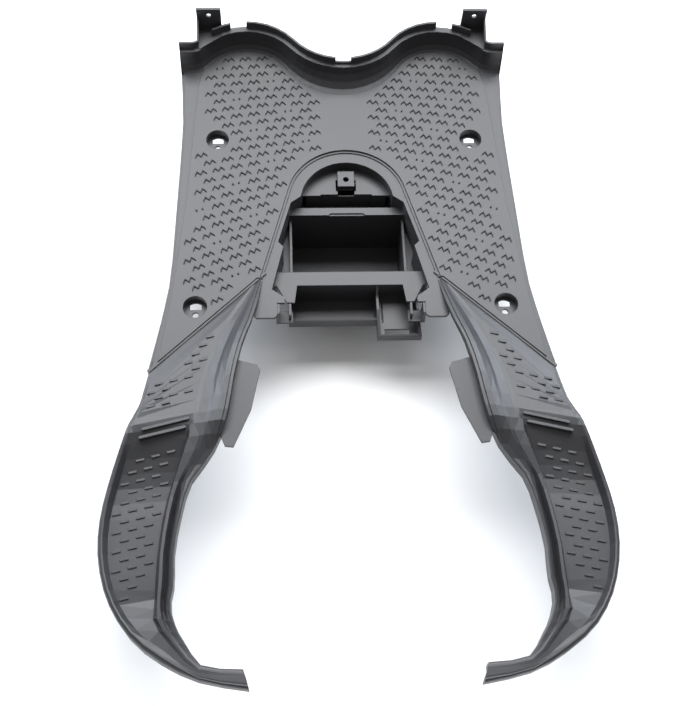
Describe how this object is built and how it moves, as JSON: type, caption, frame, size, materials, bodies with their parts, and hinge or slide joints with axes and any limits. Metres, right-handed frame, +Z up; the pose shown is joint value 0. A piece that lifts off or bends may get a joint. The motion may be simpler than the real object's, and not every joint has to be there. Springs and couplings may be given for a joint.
{
  "type": "scooter floorboard",
  "caption": "Black moulded footboard of a motor scooter with zigzag tread, battery bay and two swept passenger foot arms.",
  "frame": {"origin": "under the middle of the moulding's outline, level with the underside of the battery box", "axes": "+X across the scooter, +Y towards the front wheel, +Z up"},
  "size_m": [0.486, 0.719, 0.146],
  "materials": {
    "plastic": "matte"
  },
  "bodies": {
    "root": {"floorboard": "plastic"}
  },
  "joints": []
}
